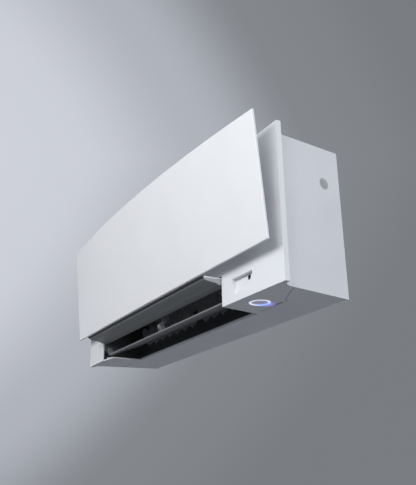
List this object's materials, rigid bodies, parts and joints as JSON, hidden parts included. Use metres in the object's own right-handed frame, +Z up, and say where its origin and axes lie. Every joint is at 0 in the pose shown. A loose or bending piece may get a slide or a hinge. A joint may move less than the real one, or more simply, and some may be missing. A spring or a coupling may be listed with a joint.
{
  "type": "split air conditioner indoor unit",
  "caption": "Wall-hung indoor air conditioner with a curved front panel on sliding arms, two outlet flaps, side-swing vanes, a cross-flow fan and lift-out filters.",
  "frame": {"origin": "middle of the wall plate's back face, which lies on the wall", "axes": "+X to the right along the unit, +Y into the wall, +Z up"},
  "size_m": [0.9, 0.2585, 0.3157],
  "materials": {
    "white_shell": "satin white",
    "white_panel": "fine matt white",
    "flap_grey": "matt grey",
    "liner_grey": "matt dark grey",
    "duct_black": "matt black",
    "vane_black": "matt black",
    "chassis_plastic": "moulded",
    "steel_plate": "zinc plated",
    "motor_steel": "brushed",
    "fin_aluminium": "finned",
    "copper": "drawn copper",
    "fan_plastic": "moulded",
    "filter_net": "fine net",
    "board_green": "solder mask",
    "terminal_cream": "moulded",
    "ring_light": "lit ring",
    "lens": "frosted",
    "sensor_black": "polished"
  },
  "bodies": {
    "root": {"wall_plate": "steel_plate", "rear_chassis": "chassis_plastic", "front_housing": "white_shell", "bottom_cover": "white_shell", "top_grille": "white_shell", "outlet_duct": "duct_black", "centre_bracket": "duct_black", "drain_pan": "chassis_plastic", "evaporator_front": "fin_aluminium", "evaporator_rear": "fin_aluminium", "coil_tubes": "copper", "fan_motor": "motor_steel", "motor_clamp": "steel_plate", "fan_bearing": "duct_black", "control_box": "steel_plate", "control_board": "board_green", "control_cover": "steel_plate", "terminal_block": "terminal_cream", "upper_flap_motor": "motor_steel", "lower_flap_motor": "motor_steel", "vane_motor_left": "motor_steel", "vane_motor_right": "motor_steel", "panel_motor_left": "motor_steel", "panel_motor_right": "motor_steel", "indicator_ring": "ring_light", "indicator_lens": "lens", "display_board": "board_green", "motion_sensor": "sensor_black", "gas_pipe": "copper", "liquid_pipe": "copper", "casing_screws": "steel_plate"},
    "panel_arms": {"panel_arm_left": "chassis_plastic", "panel_arm_right": "chassis_plastic"},
    "front_panel": {"front_panel": "white_panel", "panel_brackets": "chassis_plastic"},
    "pinion_left": {"pinion_left": "chassis_plastic"},
    "pinion_right": {"pinion_right": "chassis_plastic"},
    "upper_flap": {"upper_flap": "white_shell", "upper_flap_liner": "liner_grey"},
    "lower_flap": {"lower_flap": "flap_grey"},
    "vane_01": {"vane_01": "vane_black"},
    "vane_02": {"vane_02": "vane_black"},
    "vane_03": {"vane_03": "vane_black"},
    "vane_04": {"vane_04": "vane_black"},
    "vane_05": {"vane_05": "vane_black"},
    "vane_06": {"vane_06": "vane_black"},
    "vane_07": {"vane_07": "vane_black"},
    "vane_08": {"vane_08": "vane_black"},
    "vane_09": {"vane_09": "vane_black"},
    "vane_10": {"vane_10": "vane_black"},
    "vane_11": {"vane_11": "vane_black"},
    "vane_12": {"vane_12": "vane_black"},
    "vane_13": {"vane_13": "vane_black"},
    "vane_14": {"vane_14": "vane_black"},
    "tie_bar_left": {"tie_bar_left": "duct_black"},
    "tie_bar_right": {"tie_bar_right": "duct_black"},
    "cross_flow_fan": {"cross_flow_fan": "fan_plastic"},
    "air_filter_left": {"air_filter_left": "filter_net"},
    "air_filter_right": {"air_filter_right": "filter_net"},
    "on_off_button": {"on_off_button": "white_shell"}
  },
  "joints": [
    {"name": "panel_slide", "type": "slide", "parent": "root", "child": "panel_arms", "axis": [0, 0.9489, -0.3156], "range_m": [0, 0.029]},
    {"name": "panel_tilt", "type": "hinge", "parent": "panel_arms", "child": "front_panel", "pos_m": [0, -0.20402, -0.04435], "axis": [-1, 0, 0], "range_deg": [0, 4.67]},
    {"name": "pinion_left_spin", "type": "hinge", "parent": "root", "child": "pinion_left", "pos_m": [-0.37, -0.15916, -0.07423], "axis": [-1, 0, 0], "range_deg": [0, 208]},
    {"name": "pinion_right_spin", "type": "hinge", "parent": "root", "child": "pinion_right", "pos_m": [0.37, -0.15916, -0.07423], "axis": [-1, 0, 0], "range_deg": [0, 208]},
    {"name": "upper_flap_hinge", "type": "hinge", "parent": "root", "child": "upper_flap", "pos_m": [0, -0.1775, -0.1005], "axis": [1, 0, 0], "range_deg": [0, 90]},
    {"name": "lower_flap_hinge", "type": "hinge", "parent": "root", "child": "lower_flap", "pos_m": [0, -0.167, -0.1225], "axis": [1, 0, 0], "range_deg": [-19, 14]},
    {"name": "tie_left_slide", "type": "slide", "parent": "root", "child": "tie_bar_left", "axis": [1, 0, 0], "range_m": [-0.0058, 0.0058]},
    {"name": "vane_01_hinge", "type": "hinge", "parent": "root", "child": "vane_01", "pos_m": [-0.31601, -0.057, -0.0985], "axis": [0, -0.809, 0.5878], "range_deg": [-30.2, 30.2]},
    {"name": "vane_02_hinge", "type": "hinge", "parent": "root", "child": "vane_02", "pos_m": [-0.27701, -0.057, -0.0985], "axis": [0, -0.809, 0.5878], "range_deg": [-30.2, 30.2]},
    {"name": "vane_03_hinge", "type": "hinge", "parent": "root", "child": "vane_03", "pos_m": [-0.238, -0.057, -0.0985], "axis": [0, -0.809, 0.5878], "range_deg": [-30.2, 30.2]},
    {"name": "vane_04_hinge", "type": "hinge", "parent": "root", "child": "vane_04", "pos_m": [-0.199, -0.057, -0.0985], "axis": [0, -0.809, 0.5878], "range_deg": [-30.2, 30.2]},
    {"name": "vane_05_hinge", "type": "hinge", "parent": "root", "child": "vane_05", "pos_m": [-0.16, -0.057, -0.0985], "axis": [0, -0.809, 0.5878], "range_deg": [-30.2, 30.2]},
    {"name": "vane_06_hinge", "type": "hinge", "parent": "root", "child": "vane_06", "pos_m": [-0.12099, -0.057, -0.0985], "axis": [0, -0.809, 0.5878], "range_deg": [-30.2, 30.2]},
    {"name": "vane_07_hinge", "type": "hinge", "parent": "root", "child": "vane_07", "pos_m": [-0.08199, -0.057, -0.0985], "axis": [0, -0.809, 0.5878], "range_deg": [-30.2, 30.2]},
    {"name": "tie_right_slide", "type": "slide", "parent": "root", "child": "tie_bar_right", "axis": [1, 0, 0], "range_m": [-0.0058, 0.0058]},
    {"name": "vane_08_hinge", "type": "hinge", "parent": "root", "child": "vane_08", "pos_m": [-0.01701, -0.057, -0.0985], "axis": [0, -0.809, 0.5878], "range_deg": [-30.2, 30.2]},
    {"name": "vane_09_hinge", "type": "hinge", "parent": "root", "child": "vane_09", "pos_m": [0.02199, -0.057, -0.0985], "axis": [0, -0.809, 0.5878], "range_deg": [-30.2, 30.2]},
    {"name": "vane_10_hinge", "type": "hinge", "parent": "root", "child": "vane_10", "pos_m": [0.061, -0.057, -0.0985], "axis": [0, -0.809, 0.5878], "range_deg": [-30.2, 30.2]},
    {"name": "vane_11_hinge", "type": "hinge", "parent": "root", "child": "vane_11", "pos_m": [0.1, -0.057, -0.0985], "axis": [0, -0.809, 0.5878], "range_deg": [-30.2, 30.2]},
    {"name": "vane_12_hinge", "type": "hinge", "parent": "root", "child": "vane_12", "pos_m": [0.139, -0.057, -0.0985], "axis": [0, -0.809, 0.5878], "range_deg": [-30.2, 30.2]},
    {"name": "vane_13_hinge", "type": "hinge", "parent": "root", "child": "vane_13", "pos_m": [0.17801, -0.057, -0.0985], "axis": [0, -0.809, 0.5878], "range_deg": [-30.2, 30.2]},
    {"name": "vane_14_hinge", "type": "hinge", "parent": "root", "child": "vane_14", "pos_m": [0.21701, -0.057, -0.0985], "axis": [0, -0.809, 0.5878], "range_deg": [-30.2, 30.2]},
    {"name": "fan_spin", "type": "hinge", "parent": "root", "child": "cross_flow_fan", "pos_m": [0, -0.09, -0.00244], "axis": [1, 0, 0], "continuous": true},
    {"name": "filter_left_slide", "type": "slide", "parent": "root", "child": "air_filter_left", "axis": [0, 0, 1], "range_m": [0, 0.19]},
    {"name": "filter_right_slide", "type": "slide", "parent": "root", "child": "air_filter_right", "axis": [0, 0, 1], "range_m": [0, 0.19]},
    {"name": "on_off_press", "type": "slide", "parent": "root", "child": "on_off_button", "axis": [0, 0, 1], "range_m": [0, 0.0008], "stiffness_N_per_m": 300, "springref_m": -0.0004}
  ],
  "couplings": [
    {"joint": "panel_tilt", "follows": "panel_slide", "rad_per_m": 2.8075},
    {"joint": "pinion_left_spin", "follows": "panel_slide", "rad_per_m": 125},
    {"joint": "pinion_right_spin", "follows": "panel_slide", "rad_per_m": 125},
    {"joint": "vane_01_hinge", "follows": "tie_left_slide", "rad_per_m": -90.09},
    {"joint": "vane_02_hinge", "follows": "tie_left_slide", "rad_per_m": -90.09},
    {"joint": "vane_03_hinge", "follows": "tie_left_slide", "rad_per_m": -90.09},
    {"joint": "vane_04_hinge", "follows": "tie_left_slide", "rad_per_m": -90.09},
    {"joint": "vane_05_hinge", "follows": "tie_left_slide", "rad_per_m": -90.09},
    {"joint": "vane_06_hinge", "follows": "tie_left_slide", "rad_per_m": -90.09},
    {"joint": "vane_07_hinge", "follows": "tie_left_slide", "rad_per_m": -90.09},
    {"joint": "vane_08_hinge", "follows": "tie_right_slide", "rad_per_m": -90.09},
    {"joint": "vane_09_hinge", "follows": "tie_right_slide", "rad_per_m": -90.09},
    {"joint": "vane_10_hinge", "follows": "tie_right_slide", "rad_per_m": -90.09},
    {"joint": "vane_11_hinge", "follows": "tie_right_slide", "rad_per_m": -90.09},
    {"joint": "vane_12_hinge", "follows": "tie_right_slide", "rad_per_m": -90.09},
    {"joint": "vane_13_hinge", "follows": "tie_right_slide", "rad_per_m": -90.09},
    {"joint": "vane_14_hinge", "follows": "tie_right_slide", "rad_per_m": -90.09}
  ]
}
